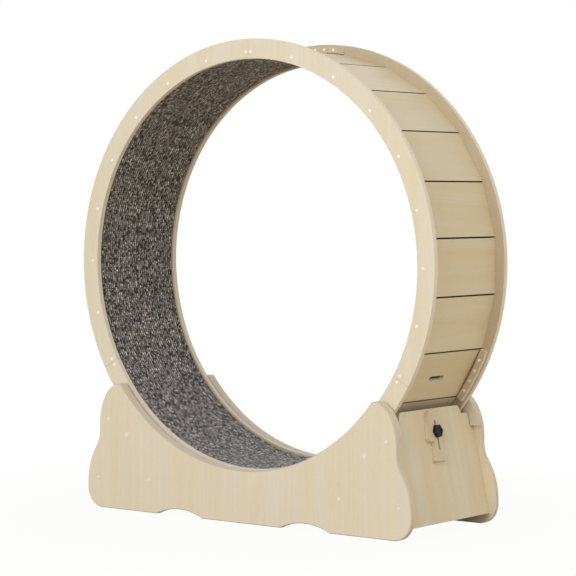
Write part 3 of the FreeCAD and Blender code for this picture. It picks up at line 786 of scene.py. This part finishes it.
class WHEEL_OT_mat(bpy.types.Operator):
    """Lay the ribbed running mat round the inside of the drum"""
    bl_idname = "wheel.mat"
    bl_label = "Running mat"

    def execute(self, context):
        mat = context.scene.wheel_mat
        _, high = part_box("running_mat")
        outer, half = high.x, high.y
        floor_radius = outer - mat.thickness
        ribs = round(2 * half / mat.rib_pitch)
        pitch = 2 * half / ribs
        gap = mat.seam_gap / 2 / outer
        turn = 2 * math.pi - 2 * gap
        section = self.cross_section(mat, floor_radius, outer, half, ribs, pitch)

        bm = bmesh.new()
        laid = bm.verts.layers.float_vector.new("mat_mm")
        rows = []
        for step in range(mat.steps + 1):
            turned = turn * step / mat.steps
            angle = mat.seam_angle + gap + turned
            row = []
            for radius, y in section:
                vertex = bm.verts.new((WHEEL_CENTRE.x + radius * math.cos(angle), y,
                                       WHEEL_CENTRE.z + radius * math.sin(angle)))
                # Along the mat, across it from the first rib's crest, and down from the crests.
                vertex[laid] = MM_PER_METRE * Vector((
                    floor_radius * turned, y + half - pitch / 2, radius - floor_radius))
                row.append(vertex)
            rows.append(row)
        count = len(section)
        for near, far in zip(rows, rows[1:]):
            for k in range(count):
                bm.faces.new((near[k], near[(k + 1) % count], far[(k + 1) % count], far[k]))
        bm.faces.new(list(reversed(rows[0])))
        bm.faces.new(rows[-1])
        bmesh.ops.recalc_face_normals(bm, faces=bm.faces)
        strip = place_piece("ribbed_running_mat", bm, "drum",
                            ribbed_felt(pitch, half), "running_mat")
        return {"FINISHED"}

    @staticmethod
    def cross_section(mat, floor_radius, outer, half, ribs, pitch):
        """Radius and Y of the ribbed running face, then of the square edges and the back."""
        section = []
        for k in range(RIB_POINTS * ribs + 1):
            y = -half + pitch * k / RIB_POINTS
            crest = 0.5 - 0.5 * math.cos(2 * math.pi * k / RIB_POINTS)
            section.append((floor_radius + mat.rib_height * (1 - crest), y))
        return section + [(outer, half), (outer, -half)]


class WHEEL_OT_caps(bpy.types.Operator):
    """Press the moulded caps over the screws of the rims and of the stand"""
    bl_idname = "wheel.caps"
    bl_label = "Screw caps"

    def execute(self, context):
        sides = context.scene.wheel_caps.sides
        white = moulded_plastic("Polyethylene screw cap, moulded, white", "f7f0e8",
                                CAP_ROUGHNESS, CAP_SPARK_SIZE, POLYETHYLENE_IOR)
        cream = moulded_plastic("Polyethylene screw cap, moulded, cream", "e8dcd0",
                                CAP_ROUGHNESS, CAP_SPARK_SIZE, POLYETHYLENE_IOR)
        press_on_caps("ring_screw_caps", "moulded_ring_caps", "drum", white, sides)
        press_on_caps("splice_screw_caps", "moulded_splice_caps", "drum", white, sides, side=-1)
        press_on_caps("panel_screw_caps", "moulded_panel_caps", "stand", cream, sides)
        return {"FINISHED"}


class WHEEL_OT_rollers(bpy.types.Operator):
    """Give the four rollers their nylon tyres and steel bearings"""
    bl_idname = "wheel.rollers"
    bl_label = "Rollers"

    def execute(self, context):
        rollers = [names[0] for body, names in BODY.items() if body.endswith("_roller")]
        paint(rollers, roller_nylon())
        return {"FINISHED"}


class WHEEL_OT_hardware(bpy.types.Operator):
    """Give the screws, studs, nuts, races and lock bolt their steel"""
    bl_idname = "wheel.hardware"
    bl_label = "Steel hardware"

    def execute(self, context):
        zinc = plated_steel("Carbon steel, zinc-plated and passivated", "c3c5c9", ZINC_ROUGHNESS)
        paint(["slat_screws", "splice_screws", "panel_screws", "axle_studs", "axle_nuts",
               "lock_bolt"], zinc)
        race = plated_steel("Chrome bearing steel, ground", "a9abae", GROUND_ROUGHNESS)
        paint(["bearing_inner_rings"], race)
        return {"FINISHED"}


class WHEEL_OT_knob(bpy.types.Operator):
    """Give the lock's clamping knob its black plastic"""
    bl_idname = "wheel.knob"
    bl_label = "Lock knob"

    def execute(self, context):
        black = moulded_plastic("ABS knob, moulded, black", "090808", KNOB_ROUGHNESS,
                                KNOB_SPARK_SIZE, KNOB_IOR)
        paint(["lock_knob"], black)
        return {"FINISHED"}


class WHEEL_OT_stage(bpy.types.Operator):
    """Set the white floor, the soft studio light and the camera"""
    bl_idname = "wheel.stage"
    bl_label = "Studio"

    def execute(self, context):
        scene = context.scene
        stage = scene.wheel_stage
        scene.view_settings.view_transform = "Standard"
        make_floor()
        make_world(scene, stage)
        for name, place, width, setting, tint in SOFTBOXES:
            add_softbox(scene, name, place, width, getattr(stage, setting), tint)
        make_camera(scene, stage)
        return {"FINISHED"}


OPERATORS = (WHEEL_OT_boards, WHEEL_OT_mat, WHEEL_OT_caps, WHEEL_OT_rollers,
             WHEEL_OT_hardware, WHEEL_OT_knob, WHEEL_OT_stage)
SETTINGS = {"wheel_wood": WoodSettings, "wheel_mat": MatSettings, "wheel_caps": CapSettings,
            "wheel_stage": StageSettings}


class WHEEL_PT_panel(bpy.types.Panel):
    """Everything that dresses the wheel, in the order in which it is made"""
    bl_idname = "WHEEL_PT_panel"
    bl_label = "Cat exercise wheel"
    bl_space_type = "VIEW_3D"
    bl_region_type = "UI"
    bl_category = "Wheel"

    def draw(self, context):
        for operator in OPERATORS:
            self.layout.operator(operator.bl_idname)
        for name, group in SETTINGS.items():
            box = self.layout.box()
            box.label(text=group.__name__.replace("Settings", ""))
            for field in group.__annotations__:
                box.prop(getattr(context.scene, name), field)


def register():
    for group in SETTINGS.values():
        bpy.utils.register_class(group)
    for operator in OPERATORS:
        bpy.utils.register_class(operator)
    bpy.utils.register_class(WHEEL_PT_panel)
    for name, group in SETTINGS.items():
        setattr(bpy.types.Scene, name, PointerProperty(type=group))


def unregister():
    for name in SETTINGS:
        delattr(bpy.types.Scene, name)
    bpy.utils.unregister_class(WHEEL_PT_panel)
    for operator in reversed(OPERATORS):
        bpy.utils.unregister_class(operator)
    for group in reversed(list(SETTINGS.values())):
        bpy.utils.unregister_class(group)


def main():
    register()
    bpy.ops.wheel.boards()
    bpy.ops.wheel.mat()
    bpy.ops.wheel.caps()
    bpy.ops.wheel.rollers()
    bpy.ops.wheel.hardware()
    bpy.ops.wheel.knob()
    bpy.ops.wheel.stage()


if __name__ == "__main__":
    main()
